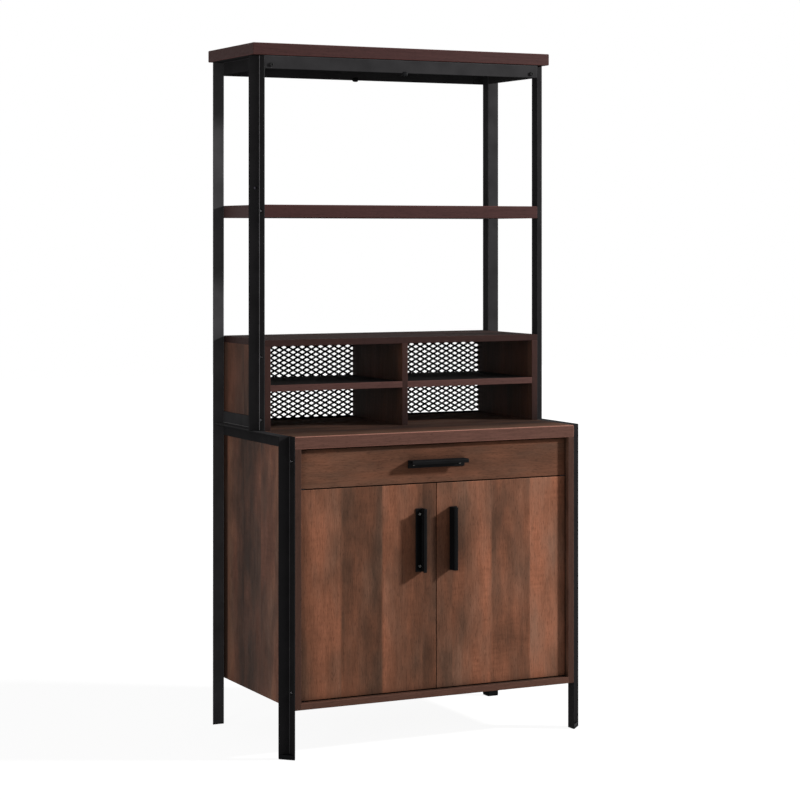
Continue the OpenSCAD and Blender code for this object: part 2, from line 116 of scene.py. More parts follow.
def painted_bend_light(tree, direction, lift):
    """Painted light on bends: a factor that is 1 on the flats and lift where the direction turns from one
    axis to another, a painted highlight where lift is over 1 and painted shade where it is under 1. The sum
    |nx| + |ny| + |nz| of a direction n is 1 along an axis of its piece, and 1.41 half-way round a bend."""
    own = add_node(
        tree,
        "VectorTransform",
        {0: direction},
        vector_type="NORMAL",
        convert_from="WORLD",
        convert_to="OBJECT",
    )
    plain = add_node(tree, "VectorMath", {0: own.outputs[0]}, operation="ABSOLUTE")
    total = add_node(tree, "VectorMath", {0: plain.outputs[0], 1: (1, 1, 1)}, operation="DOT_PRODUCT")
    lifted = add_node(
        tree,
        "MapRange",
        {"Value": total.outputs["Value"], "From Min": 1.12, "From Max": 1.35, "To Min": 1.0, "To Max": lift},
    )
    return lifted.outputs[0]


def painted_corner_shade(tree, reach, deepest):
    """Painted shade: a factor that falls from 1 on open faces to deepest in gaps and in inner corners, where
    other faces within reach hide most of the room."""
    open_sky = add_node(tree, "AmbientOcclusion", {"Distance": reach}, samples=6)
    fallen = add_node(
        tree,
        "MapRange",
        {
            "Value": open_sky.outputs["AO"],
            "From Min": 0.3,
            "From Max": 0.93,
            "To Min": deepest,
            "To Max": 1.0,
        },
    )
    return fallen.outputs[0]


# Materials

# Of the printed boards: the depth of the embossing, the round of a trimmed edge, and a stave's width and seam
EMBOSS_DEPTH = 0.06 * MM
ARRIS = 1.8 * MM
STAVE_WIDTH = 112 * MM
STAVE_SEAM = 5 * MM
# How far the pattern moves across and along from one stave to the next, in metres, so that no two look alike
SHIFT_ACROSS, SHIFT_ALONG = 0.37, 1.93
# How far off other faces count for the painted shade at a joint between two boards, and inside an open cubby
JOINT_REACH, CUBBY_REACH = 60 * MM, 200 * MM

# The print's layers: clouds, washed-out places, brushed streaks, hairs and pores. Each has the width and the
# length of its marks in mm, how far they lean in radians, and the noise's detail and roughness.
PRINT_LAYERS = (
    ("cloud", 52, 135, 0.22, 4.0, 0.55),
    ("washed", 60, 210, -0.15, 3.0, 0.5),
    ("streak", 7, 150, 0.0, 4.0, 0.6),
    ("hair", 2.6, 45, 0.0, 3.0, 0.6),
    ("pore", 1.6, 13, 0.0, 1.0, 0.5),
)
# The noise values between which a layer goes from its first factor on the print's colour to its second
PRINT_SHADES = (
    ("streak", NOISE_LOW, NOISE_HIGH, 0.92, 1.07),
    ("hair", 0.35, 0.65, 0.87, 1.11),
    ("pore", 0.68, 0.58, 0.72, 1.0),
)
# Saw marks lie 9 mm apart, are about 45 mm long and lean by 0.35 radians
SAW_MARKS = (22.0, 22.0, 1 / (9 * MM))
SAW_LEAN = 0.35


def wood_print(
    name,
    along,
    across,
    tones,
    band,
    staves,
    start,
    width=STAVE_WIDTH,
    cloudy=1.1,
    saw=0.0,
    arris=1.6,
    corner=0.2,
    reach=JOINT_REACH,
    end=None,
):
    """Melamine-faced particle board with a printed rustic walnut pattern, pressed against an embossed plate,
    and edged with a plainer plastic band. The eye sees broad staves of different brown, cloudy weathering
    along the grain, hair-fine dark pores, and a dull sheen that follows the embossing.

    along and across are the axes of the board's faces, tones run from dark to light, band is the colour of
    the edges, and end that of the edges across the grain where it differs. staves are pairs: the tone, from 0
    to 1, at the near and the far side of each of the print's staves, which are width wide, from start on.
    cloudy is the strength of the weathering and saw that of the saw marks, arris is how light the painted
    highlight makes the rounded edges, and corner how dark the painted shade makes the gaps and inner corners,
    where other boards stand within reach."""
    material, tree, shader = new_material(name, {"IOR": 1.5, "Specular IOR Level": 0.07})
    place = add_node(tree, "TexCoord")
    axes = add_node(tree, "SeparateXYZ", {0: place.outputs["Object"]})
    third = next(axis for axis in "XYZ" if axis not in (along, across))
    span = width * len(staves)
    # How far across the print a point lies, from 0 at its start to 1 at its end
    part = add_node(
        tree,
        "MapRange",
        {"Value": axes.outputs[across], "From Min": start, "From Max": start + span},
    )
    stave = add_node(tree, "ValToRGB", {0: part.outputs[0]})
    spots = []
    for n, (near, far) in enumerate(staves):
        spots.append(((n * width + STAVE_SEAM) / span, near))
        spots.append((((n + 1) * width - STAVE_SEAM) / span, far))
    stops = stave.color_ramp.elements
    for n, (at, tone) in enumerate(spots):
        stop = stops[n] if n < 2 else stops.new(at)
        stop.position = at
        stop.color = (tone, tone, tone, 1)
    # Each stave is cut from another place of the pattern: its number moves the grain
    counted = add_node(tree, "Math", {0: part.outputs[0], 1: float(len(staves))}, operation="MULTIPLY")
    number = add_node(tree, "Math", {0: counted.outputs[0]}, operation="FLOOR")
    moved = [
        add_node(
            tree, "Math", {0: number.outputs[0], 1: step, 2: axes.outputs[axis]}, operation="MULTIPLY_ADD"
        ).outputs[0]
        for step, axis in ((SHIFT_ACROSS, across), (SHIFT_ALONG, along))
    ]
    grain = add_node(tree, "CombineXYZ", {0: moved[0], 1: axes.outputs[third], 2: moved[1]})
    layers = {}
    for layer, wide, long, lean, detail, rough in PRINT_LAYERS:
        sized = add_node(
            tree,
            "Mapping",
            {
                "Vector": grain.outputs[0],
                "Rotation": (0, lean, 0),
                "Scale": (1000 / wide, 1000 / wide, 1000 / long),
            },
        )
        layers[layer] = add_node(
            tree,
            "TexNoise",
            {"Vector": sized.outputs[0], "Scale": 1.0, "Detail": detail, "Roughness": rough},
        ).outputs[0]
    clouded = add_node(
        tree, "Math", {0: layers["cloud"], 1: cloudy, 2: stave.outputs[0]}, operation="MULTIPLY_ADD"
    )
    toned = add_node(tree, "Math", {0: clouded.outputs[0], 1: 0.5 * cloudy}, operation="SUBTRACT")
    ramp = add_node(tree, "ValToRGB", {0: toned.outputs[0]})
    stops = ramp.color_ramp.elements
    for n, code in enumerate(tones):
        at = n / (len(tones) - 1)
        stop = stops[n] if n < 2 else stops.new(at)
        stop.position = at
        stop.color = linear(code)
    # Washed-out places turn from orange towards olive grey
    washed = add_node(
        tree, "MapRange", {"Value": layers["washed"], "From Min": 0.4, "From Max": 0.68, "To Max": 1.0}
    )
    print_colour = add_node(
        tree,
        "HueSaturation",
        {"Hue": 0.507, "Saturation": 0.88, "Value": 0.8, "Fac": washed.outputs[0], "Color": ramp.outputs[0]},
    )
    factors = [
        add_node(
            tree,
            "MapRange",
            {"Value": layers[layer], "From Min": low, "From Max": high, "To Min": first, "To Max": second},
        ).outputs[0]
        for layer, low, high, first, second in PRINT_SHADES
    ]
    if saw:
        # Faint slanting marks of the saw, only where the wood is not washed out
        turned = add_node(
            tree,
            "Mapping",
            {"Vector": grain.outputs[0], "Rotation": (0, SAW_LEAN, 0), "Scale": SAW_MARKS},
        )
        marks = add_node(tree, "TexNoise", {"Vector": turned.outputs[0], "Scale": 1.0, "Detail": 1.0})
        where = add_node(
            tree,
            "MapRange",
            {"Value": layers["washed"], "From Min": 0.5, "From Max": 0.4, "To Min": 0.0, "To Max": saw},
        )
        centred = add_node(tree, "Math", {0: marks.outputs[0], 1: 0.5}, operation="SUBTRACT")
        sawn = add_node(
            tree, "Math", {0: centred.outputs[0], 1: where.outputs[0], 2: 1.0}, operation="MULTIPLY_ADD"
        )
        factors.append(sawn.outputs[0])
    # The arrises of the edge band are rounded by the trimmer, and a painted highlight makes them lighter,
    # arris times
    eased = eased_edges(tree, ARRIS)
    factors.append(painted_bend_light(tree, eased, arris))
    shade = factors[0]
    for factor in factors[1:]:
        shade = add_node(tree, "Math", {0: shade, 1: factor}, operation="MULTIPLY").outputs[0]
    # A face lies across the board's third axis, and a band's end across the grain
    facing = add_node(tree, "SeparateXYZ", {0: place.outputs["Normal"]})
    lies_across = {}
    for axis in (third, along):
        level = add_node(tree, "Math", {0: facing.outputs[axis]}, operation="ABSOLUTE")
        past = add_node(tree, "Math", {0: level.outputs[0], 1: ACROSS_AXIS}, operation="GREATER_THAN")
        lies_across[axis] = past.outputs[0]
    edge = add_node(
        tree,
        "Mix",
        {0: lies_across[along], 6: linear(band), 7: linear(end or band)},
        data_type="RGBA",
    )
    ground = add_node(
        tree,
        "Mix",
        {0: lies_across[third], 6: edge.outputs[2], 7: print_colour.outputs[0]},
        data_type="RGBA",
    )
    # Painted shade: the print is darkened in gaps and inner corners, down to corner where other faces stand
    # close
    dimmed = add_node(tree, "Math", {0: shade, 1: painted_corner_shade(tree, reach, corner)}, operation="MULTIPLY")
    colour = add_node(
        tree,
        "Mix",
        {0: 1.0, 6: ground.outputs[2], 7: dimmed.outputs[0]},
        data_type="RGBA",
        blend_type="MULTIPLY",
    )
    tree.links.new(colour.outputs[2], shader.inputs["Base Color"])
    sheen = add_node(
        tree,
        "MapRange",
        {
            "Value": layers["streak"],
            "From Min": NOISE_LOW,
            "From Max": NOISE_HIGH,
            "To Min": 0.66,
            "To Max": 0.54,
        },
    )
    duller_edge_on(tree, shader, sheen.outputs[0], starts=0.65, ends=0.93)
    emboss = add_node(
        tree,
        "Bump",
        {"Height": shade, "Strength": 0.5, "Distance": EMBOSS_DEPTH, "Normal": eased},
    )
    tree.links.new(emboss.outputs[0], shader.inputs["Normal"])
    return material


# Of the powder coat: how far apart and how deep the dimples of its peel are, the size of the slow clouds in
# its thickness, and how far it eases a sheared edge
PEEL, PEEL_DEPTH = 1.2 * MM, 0.05 * MM
COAT_CLOUDS = 60 * MM
COAT_EASING = 2.6 * MM


def powder_coat(name, code, roughness, specular, bend=1.0):
    """Baked polyester powder over cold-rolled steel: black with a fine orange peel, and satin on the flats.
    specular is the strength of its gloss, and bend how much lighter a painted highlight makes it along its
    bends."""
    material, tree, shader = new_material(name, {"IOR": 1.5, "Specular IOR Level": specular})
    place = add_node(tree, "TexCoord")
    peel = add_node(tree, "TexNoise", {"Vector": place.outputs["Object"], "Scale": 1 / PEEL, "Detail": 2.0})
    cloud = add_node(
        tree, "TexNoise", {"Vector": place.outputs["Object"], "Scale": 1 / COAT_CLOUDS, "Detail": 3.0}
    )
    tone = two_toned(tree, cloud.outputs[0], code, dark=0.85, light=1.2)
    shape = add_node(tree, "NewGeometry")
    # Painted highlight: the coat is drawn lighter along its bends, by the factor bend
    bend_highlight = painted_bend_light(tree, shape.outputs["True Normal"], bend)
    colour = add_node(tree, "Mix", {0: 1.0, 6: tone, 7: bend_highlight}, data_type="RGBA", blend_type="MULTIPLY")
    tree.links.new(colour.outputs[2], shader.inputs["Base Color"])
    dull = add_node(
        tree,
        "MapRange",
        {
            "Value": cloud.outputs[0],
            "From Min": NOISE_LOW,
            "From Max": NOISE_HIGH,
            "To Min": roughness - 0.04,
            "To Max": roughness + 0.05,
        },
    )
    duller_edge_on(tree, shader, dull.outputs[0], starts=0.45, ends=0.56)
    bump = add_node(
        tree,
        "Bump",
        {
            "Height": peel.outputs[0],
            "Strength": 0.35,
            "Distance": PEEL_DEPTH,
            "Normal": eased_edges(tree, COAT_EASING),
        },
    )
    tree.links.new(bump.outputs[0], shader.inputs["Normal"])
    return material


# The size of the clouds in a zinc plate's passivation, and how far a screw's head is rounded
PLATE_CLOUDS, HEAD_ROUND = 9 * MM, 0.3 * MM


def plated_steel(name, code, roughness, rim=1.0):
    """Zinc-plated steel: bright, grey or black, with a faint clouded passivation. rim is how light the
    rounded rim of a screw's head is against its flat middle: under 1 it paints shade on the rim, which leaves
    the middle as a painted glint."""
    material, tree, shader = new_material(name, {"Metallic": 1.0})
    place = add_node(tree, "TexCoord")
    cloud = add_node(
        tree, "TexNoise", {"Vector": place.outputs["Object"], "Scale": 1 / PLATE_CLOUDS, "Detail": 3.0}
    )
    tone = two_toned(tree, cloud.outputs[0], code, dark=0.8, light=1.1)
    # Painted glint: the rim of a head is darkened against its flat middle, rim times
    glint_and_rim_shade = painted_bend_light(tree, eased_edges(tree, HEAD_ROUND), rim)
    colour = add_node(tree, "Mix", {0: 1.0, 6: tone, 7: glint_and_rim_shade}, data_type="RGBA", blend_type="MULTIPLY")
    tree.links.new(colour.outputs[2], shader.inputs["Base Color"])
    dull = add_node(
        tree,
        "MapRange",
        {"Value": cloud.outputs[0], "To Min": roughness - 0.06, "To Max": roughness + 0.08},
    )
    tree.links.new(dull.outputs[0], shader.inputs["Roughness"])
    return material


# The moulded skin's grain is 0.1 mm wide on the real foot, and is drawn at 0.4 mm so that it shows at all
SKIN_GRAIN, SKIN_DEPTH = 0.4 * MM, 0.03 * MM


def moulded_plastic(name, code, roughness):
    """Injection-moulded polyethylene with a spark-eroded skin: dull black with a fine even grain."""
    material, tree, shader = new_material(
        name, {"IOR": 1.5, "Specular IOR Level": 0.05, "Base Color": linear(code)}
    )
    place = add_node(tree, "TexCoord")
    grain = add_node(
        tree, "TexNoise", {"Vector": place.outputs["Object"], "Scale": 1 / SKIN_GRAIN, "Detail": 2.0}
    )
    dull = add_node(
        tree,
        "MapRange",
        {"Value": grain.outputs[0], "To Min": roughness - 0.1, "To Max": roughness + 0.1},
    )
    tree.links.new(dull.outputs[0], shader.inputs["Roughness"])
    bump = add_node(tree, "Bump", {"Height": grain.outputs[0], "Strength": 0.3, "Distance": SKIN_DEPTH})
    tree.links.new(bump.outputs[0], shader.inputs["Normal"])
    return material


# The width of a bundle of fibres in hardboard, and how far it stands out
FIBRE_BUNDLE, FIBRE_DEPTH = 3 * MM, 0.05 * MM


def hardboard(name, code):
    """Pressed wood fibre sheet, 3 to 4 mm: a smooth brown skin with fibres that lie every way."""
    material, tree, shader = new_material(name, {"IOR": 1.45})
    place = add_node(tree, "TexCoord")
    fibre = add_node(
        tree,
        "TexNoise",
        {"Vector": place.outputs["Object"], "Scale": 1 / FIBRE_BUNDLE, "Detail": 5.0, "Roughness": 0.7},
    )
    tone = two_toned(tree, fibre.outputs[0], code, dark=0.75, light=1.2)
    tree.links.new(tone, shader.inputs["Base Color"])
    dull = add_node(tree, "MapRange", {"Value": fibre.outputs[0], "To Min": 0.5, "To Max": 0.8})
    tree.links.new(dull.outputs[0], shader.inputs["Roughness"])
    bump = add_node(tree, "Bump", {"Height": fibre.outputs[0], "Strength": 0.3, "Distance": FIBRE_DEPTH})
    tree.links.new(bump.outputs[0], shader.inputs["Normal"])
    return material


DOOR_TONES = ("#37241a", "#583a2b", "#774c38", "#955f47")
SIDE_TONES = ("#39261d", "#573b2f", "#744e3f", "#936550")
INNER_TONES = ("#472b21", "#5d3c2e", "#744a38", "#8a5943")
DARK_TONES = ("#1a100e", "#261714", "#301e1a", "#3b2621")
SHELF_TONES = ("#150d0b", "#1f1310", "#281916", "#31201c")
COUNTER_TONES = ("#2b1b15", "#402a20", "#553a2d", "#6a4a3b")
# The edge band of the doors and the drawer front is drawn darker than their faces, partly its own colour and
# partly painted shade for the gaps between them.
DOOR_BAND, CASE_BAND, COUNTER_BAND, BOTTOM_BAND = "#4c3126", "#452f27", "#5e4037", "#563b31"
# The end band of the upper shelf is painted light: lighter than its front band, though that end lies in
# shade.
DARK_BAND, LIT_DARK_END, CUBBY_BAND = "#3f2725", "#54403e", "#37231f"
TOP_BAND, SHELF_BAND = "#2f1d1a", "#573b36"

# Each print's staves, and where the first one starts: a part of a stave or a whole one left of each door,
# below the drawer front, and just before the front of every other board. The staves of the doors, the drawer
# and the sides follow the bands of light and dark in the photograph.
LEFT_STAVES = ((0.7, 0.7), (0.7, 0.8), (0.42, 0.44), (0.8, 0.5), (0.38, 0.5))
RIGHT_STAVES = ((0.6, 0.55), (0.58, 0.86), (0.52, 0.68), (1.0, 0.86), (0.8, 0.8))
DRAWER_STAVES = ((0.44, 0.5), (0.5, 0.55))
# The last stave of the sides, at tone 0, is painted shade along the rear edge beside the rear legs.
SIDE_STAVES = ((0.85, 0.9), (0.8, 0.62), (0.5, 0.12), (0.14, 1.0), (0.0, 0.0))
END_STAVES = ((0.85, 0.9), (0.72, 0.4), (0.34, 0.36), (0.38, 0.52), (0.55, 0.3))
LEVEL_STAVES = ((0.5, 0.55), (0.62, 0.55), (0.4, 0.45), (0.55, 0.5), (0.5, 0.5))
# The counter's first two staves are a painted reflection: light along the front edge and dark behind it
# towards the hutch.
COUNTER_STAVES = ((1.0, 0.3), (0.12, 0.2), (0.4, 0.45), (0.5, 0.4), (0.5, 0.5))
LEFT_START, RIGHT_START = -486 * MM, -66 * MM
DRAWER_START, DRAWER_STAVE = 600 * MM, 140 * MM
BOARD_START = -250 * MM

LEFT_DOOR_WOOD = wood_print(
    "left_door_wood_print", "Z", "X", DOOR_TONES, DOOR_BAND, LEFT_STAVES, LEFT_START, saw=0.25
)
RIGHT_DOOR_WOOD = wood_print(
    "right_door_wood_print", "Z", "X", DOOR_TONES, DOOR_BAND, RIGHT_STAVES, RIGHT_START, saw=0.5
)
DRAWER_WOOD = wood_print(
    "drawer_wood_print",
    "X",
    "Z",
    DOOR_TONES,
    DOOR_BAND,
    DRAWER_STAVES,
    DRAWER_START,
    width=DRAWER_STAVE,
    cloudy=0.7,
)
SIDE_WOOD = wood_print(
    "side_wood_print", "Z", "Y", SIDE_TONES, CASE_BAND, SIDE_STAVES, BOARD_START, cloudy=1.6, saw=0.4
)
COUNTER_WOOD = wood_print(
    "counter_wood_print",
    "X",
    "Y",
    COUNTER_TONES,
    COUNTER_BAND,
    COUNTER_STAVES,
    BOARD_START,
    arris=3.0,
    corner=1.0,
)
CASE_WOOD = wood_print("case_wood_print", "X", "Y", SIDE_TONES, CASE_BAND, LEVEL_STAVES, BOARD_START)
BOTTOM_WOOD = wood_print(
    "bottom_panel_wood_print", "X", "Y", SIDE_TONES, BOTTOM_BAND, LEVEL_STAVES, BOARD_START
)
DARK_WOOD = wood_print(
    "dark_wood_print", "X", "Y", DARK_TONES, DARK_BAND, LEVEL_STAVES, BOARD_START, arris=2.0, corner=1.0
)
UPPER_WOOD = wood_print(
    "upper_shelf_wood_print",
    "X",
    "Y",
    DARK_TONES,
    DARK_BAND,
    LEVEL_STAVES,
    BOARD_START,
    arris=2.0,
    corner=1.0,
    end=LIT_DARK_END,
)
CUBBY_WOOD = wood_print("cubby_top_wood_print", "X", "Y", DARK_TONES, TOP_BAND, LEVEL_STAVES, BOARD_START)
SHELF_WOOD = wood_print(
    "cubby_shelf_wood_print",
    "X",
    "Y",
    SHELF_TONES,
    SHELF_BAND,
    LEVEL_STAVES,
    BOARD_START,
    corner=0.15,
    reach=CUBBY_REACH,
)
END_WOOD = wood_print("cubby_end_wood_print", "Z", "Y", SIDE_TONES, CUBBY_BAND, END_STAVES, BOARD_START)
INNER_WOOD = wood_print(
    "cubby_inner_wood_print",
    "Z",
    "Y",
    INNER_TONES,
    CUBBY_BAND,
    LEVEL_STAVES,
    BOARD_START,
    corner=0.1,
    reach=CUBBY_REACH,
)

# One black coat in five copies that paint light and shade: a painted highlight along the bends, brightest on
# the front left post, painted shade that makes the front legs and the front right post darker than the rails,
# painted light on the left rear leg and post and the hutch's left rail, and painted shadow that makes the
# right rear leg almost black.
FRAME_COAT = powder_coat("black_powder_coated_frame", "#2e2d2e", 0.4, 0.03, bend=3.0)
POST_HIGHLIGHT_COAT = powder_coat("black_powder_coated_front_posts_painted_highlight", "#2e2d2e", 0.4, 0.03, bend=12.0)
SHADED_LEG_COAT = powder_coat("black_powder_coated_front_legs_painted_shade", "#222122", 0.4, 0.03, bend=4.0)
LIT_REAR_COAT = powder_coat("black_powder_coated_left_rear_painted_light", "#3f3e3f", 0.4, 0.03, bend=5.0)
SHADOWED_FAR_COAT = powder_coat("black_powder_coated_right_rear_leg_painted_shadow", "#141414", 0.45, 0.02)
PULL_COAT = powder_coat("satin_black_powder_coated_pull", "#0d0d0e", 0.38, 0.05)
BOLT_COAT = powder_coat("black_powder_coated_bolts", "#2a2a2a", 0.42, 0.03)
MESH_COAT = powder_coat("black_powder_coated_mesh", "#0a0a0b", 0.5, 0.06)
BRIGHT_ZINC = plated_steel("bright_zinc_plate", "#b9bab8", 0.32)
# The drawer pull's screws are the door pulls' bright zinc drawn in a darker grey: painted shade under the
# pull's lip.
SHADED_ZINC = plated_steel("zinc_plate_painted_shade", "#5c5a56", 0.42)
BLACK_ZINC = plated_steel("black_zinc_plate", "#242427", 0.3)
HEAD_ZINC = plated_steel("dark_zinc_round_head", "#38363c", 0.45)
# The black zinc screw heads of the legs and posts are drawn with a light grey middle and a rim in painted
# shade: a painted glint.
GLINT_SCREW_ZINC = plated_steel("black_zinc_screw_heads_painted_glint", "#d6d6d8", 0.3, rim=0.015)
FOOT_PLASTIC = moulded_plastic("moulded_black_polyethylene", "#08080a", 0.5)
BACK_BOARD = hardboard("printed_hardboard", "#5a4136")

# How the names of each finish's nodes start. Where two starts fit a name, the longer one counts.
FINISHES = {
    FRAME_COAT: "base_rail_ post_rear_right hutch_rail_right top_rail_",
    POST_HIGHLIGHT_COAT: "post_front_left",
    SHADED_LEG_COAT: "leg_front_ post_front_right",
    LIT_REAR_COAT: "leg_rear_left post_rear_left hutch_rail_left",
    SHADOWED_FAR_COAT: "leg_rear_right",
    PULL_COAT: "drawer_pull door_pull_left door_pull_right",
    FOOT_PLASTIC: "foot_caps",
    BRIGHT_ZINC: "slide_ shelf_pins door_pull_screws_",
    SHADED_ZINC: "drawer_pull_screws",
    GLINT_SCREW_ZINC: "leg_screws post_screws",
    BOLT_COAT: "rail_bolts",
    BLACK_ZINC: "pivot_brackets_",
    LEFT_DOOR_WOOD: "door_left",
    RIGHT_DOOR_WOOD: "door_right",
    DRAWER_WOOD: "drawer_front",
    SIDE_WOOD: "side_panel_",
    COUNTER_WOOD: "counter_top",
    BOTTOM_WOOD: "bottom_panel",
    CASE_WOOD: "stretcher inner_shelf drawer_side_ drawer_back",
    DARK_WOOD: "top_board",
    UPPER_WOOD: "upper_shelf",
    CUBBY_WOOD: "cubby_top",
    SHELF_WOOD: "cubby_shelf_",
    END_WOOD: "cubby_side_left",
    INNER_WOOD: "cubby_side_right cubby_divider",
    BACK_BOARD: "back_panel drawer_bottom",
    MESH_COAT: "mesh_back_",
}
for name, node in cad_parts.items():
    fits = [
        (len(start), finish)
        for finish, starts in FINISHES.items()
        for start in starts.split()
        if name.startswith(start)
    ]
    node.data.materials.clear()
    node.data.materials.append(max(fits, key=lambda fit: fit[0])[1])


# New pieces


def make_piece(name, points, faces, material, body):
    """Puts points and faces into a mesh that rides on a body and takes its finish from a slot."""
    mesh = bpy.data.meshes.new(name)
    mesh.from_pydata(np.asarray(points, float), [], np.asarray(faces, int).tolist())
    mesh.validate()
    mesh.materials.append(material)
    piece = bpy.data.objects.new(name, mesh)
    bpy.context.scene.collection.objects.link(piece)
    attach(piece, body)
    return piece


def swept_band(path, up, section):
    """A closed tube. Each point of the path carries the section's points, moved by the first number along the
    path's own sideways direction (up) and by the second along Y, and both ends are capped.
    point(i, j) = path(i) + up(i) * section(j, 0) + Y * section(j, 1)."""
    rings, around = len(path), len(section)
    deep = np.array([0.0, 1.0, 0.0])
    points = path[:, None, :] + up[:, None, :] * section[None, :, :1] + deep * section[None, :, 1:]
    i, j = np.meshgrid(np.arange(rings - 1), np.arange(around), indexing="ij")
    k = (j + 1) % around
    sides = np.stack([i * around + j, i * around + k, (i + 1) * around + k, (i + 1) * around + j], -1)
    ends = np.stack([np.arange(around)[::-1], (rings - 1) * around + np.arange(around)])
    return points.reshape(-1, 3), np.vstack([sides.reshape(-1, 4), ends.reshape(-1, 4)])


# Of the expanded sheets: the pitch of the openings, the strand's width, the sheet's thickness, the tilt of a
# strand, and the width and thickness of the flat rim
LONG_WAY, SHORT_WAY = 26.7 * MM, 13.7 * MM
STRAND, SHEET = 5.0 * MM, 1.2 * MM
TILT = math.radians(6)
RIM, RIM_SHEET = 5 * MM, 1.6 * MM
STEPS_A_BAY = 6
# The strands' wave has sharp tips at 1 and is a sine at 0
TIP_SHARPNESS = 0.99


def expanded_sheet(name, node, first_x, first_z):
    """Expanded metal: slit and stretched sheet steel, so each strand is one zigzag band that meets the next
    one at the bonds. Strand k lies at z = bottom + first_z + k * short way / 2, and swings by a quarter of
    the short way as a rounded triangle wave of (x - first_x) / long way, alternately up and down. Its section
    leans by the tilt of a stretched strand. The flat rim that the shears leave is four straight bands."""
    low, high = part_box(node)
    bays = (high.x - low.x) / (LONG_WAY / 2)
    x = np.linspace(low.x + RIM / 2, high.x - RIM / 2, int(bays * STEPS_A_BAY))
    middle = (low.y + high.y) / 2
    phase = 2 * np.pi * (x - low.x - first_x) / LONG_WAY
    # A triangle wave with its tips rounded off by an arc sine of less than one
    wave = np.arcsin(TIP_SHARPNESS * np.cos(phase)) / math.asin(TIP_SHARPNESS)
    half, thick = STRAND / 2, SHEET / 2
    corners = np.array([[-half, -thick], [half, -thick], [half, thick], [-half, thick]])
    turn = np.array([[math.cos(TILT), math.sin(TILT)], [-math.sin(TILT), math.cos(TILT)]])
    section = corners @ turn
    bands = []
    for k in range(1, int((high.z - low.z) / (SHORT_WAY / 2))):
        swing = wave * SHORT_WAY / 4 * (1 if k % 2 else -1)
        z = np.clip(low.z + first_z + k * SHORT_WAY / 2 + swing, low.z + half, high.z - half)
        path = np.stack([x, np.full_like(x, middle), z], -1)
        along = np.gradient(path, axis=0)
        along /= np.linalg.norm(along, axis=1, keepdims=True)
        bands.append((path, np.stack([-along[:, 2], np.zeros_like(x), along[:, 0]], -1), section))
    deep = RIM_SHEET / 2
    rim = np.array([[0, -deep], [RIM, -deep], [RIM, deep], [0, deep]])
    for (start_x, start_z), (end_x, end_z), up in (
        ((low.x, low.z), (high.x, low.z), (0, 0, 1.0)),
        ((low.x, high.z - RIM), (high.x, high.z - RIM), (0, 0, 1.0)),
        ((low.x, high.z), (low.x, low.z), (1.0, 0, 0)),
        ((high.x - RIM, high.z), (high.x - RIM, low.z), (1.0, 0, 0)),
    ):
        path = np.array([[start_x, middle, start_z], [end_x, middle, end_z]])
        bands.append((path, np.array([up, up]), rim))
    points, faces, total = [], [], 0
    for band in bands:
        made, quads = swept_band(*band)
        points.append(made)
        faces.append(quads + total)
        total += len(made)
    return make_piece(name, np.vstack(points), np.vstack(faces), MESH_COAT, "cabinet")


for side, first_x, first_z in (("left", -4.5 * MM, -3.3 * MM), ("right", -3.7 * MM, 4.0 * MM)):
    sheet = expanded_sheet(f"expanded_sheet_{side}", f"mesh_back_{side}", first_x, first_z)
    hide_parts(f"mesh_back_{side}")


NUB_ROWS, NUB_ROUND, NUB_POWER = 16, 28, 3
# Points of one nub that lie closer than this are one point
SAME_POINT = 0.0001 * MM


def nub(name, centre, size, material):
    """A small moulded nub, |x/a|^n + |y/b|^n + |z/c|^n = 1 with n = 3 about its centre, where a, b and c are
    half its size, all in mm. With u from -pi/2 to pi/2, v round the circle and p(t) = sign(t) * |t|^(2/n), a
    point of it is x = a * p(cos u) * p(cos v), y = b * p(cos u) * p(sin v), z = c * p(sin u)."""
    u = np.linspace(-np.pi / 2, np.pi / 2, NUB_ROWS + 1)[:, None]
    v = np.linspace(0, 2 * np.pi, NUB_ROUND, endpoint=False)[None, :]

    def p(t):
        return np.sign(t) * np.abs(t) ** (2 / NUB_POWER)

    unit = np.stack([p(np.cos(u)) * p(np.cos(v)), p(np.cos(u)) * p(np.sin(v)), p(np.sin(u)) + 0 * v], -1)
    points = (np.array(centre) + unit * np.array(size) / 2) * MM
    i, j = np.meshgrid(np.arange(NUB_ROWS), np.arange(NUB_ROUND), indexing="ij")
    k = (j + 1) % NUB_ROUND
    below, above = i * NUB_ROUND, (i + 1) * NUB_ROUND
    faces = np.stack([below + j, below + k, above + k, above + j], -1)
    piece = make_piece(name, points.reshape(-1, 3), faces.reshape(-1, 4), material, "cabinet")
    # The rows at both ends are single points: their copies are merged, which closes the poles
    shell = bmesh.new()
    shell.from_mesh(piece.data)
    bmesh.ops.remove_doubles(shell, verts=shell.verts, dist=SAME_POINT)
    bmesh.ops.recalc_face_normals(shell, faces=shell.faces)
    shell.to_mesh(piece.data)
    shell.free()
    piece.data.shade_smooth()


# The photograph shows one nub half-way along the lower edge of the front and of the rear top rail, and one
# small round head on the left front post, 42 mm above the upper shelf
nub("edge_nub_front", (0, -49, 1691), (16, 5, 12), FOOT_PLASTIC)
nub("edge_nub_rear", (0, 252, 1695), (17, 5, 12), FOOT_PLASTIC)
nub("post_head", (-406, -21, 1394), (8, 5, 8), HEAD_ZINC)


# Floor, light and camera

WHITE = (1, 1, 1, 1)
# The paper turns wholly white between these distances from the hutch, in metres
FADE_STARTS, FADE_ENDS = 1.2, 3.5
# Half the floor's width in metres, and the strength of the even light from all round
FLOOR_HALF = 14.0
AMBIENT = 0.19


def seen_rays(tree):
    """Two factors: 1 for a ray from the camera, and 1 for such a ray or for one that a reflection or a clear
    body sends on. Both are 0 for any other ray."""
    path = add_node(tree, "LightPath")
    seen = path.outputs["Is Camera Ray"]
    for other in ("Is Glossy Ray", "Is Transmission Ray"):
        seen = add_node(tree, "Math", {0: seen, 1: path.outputs[other]}, operation="MAXIMUM").outputs[0]
    return path.outputs["Is Camera Ray"], seen


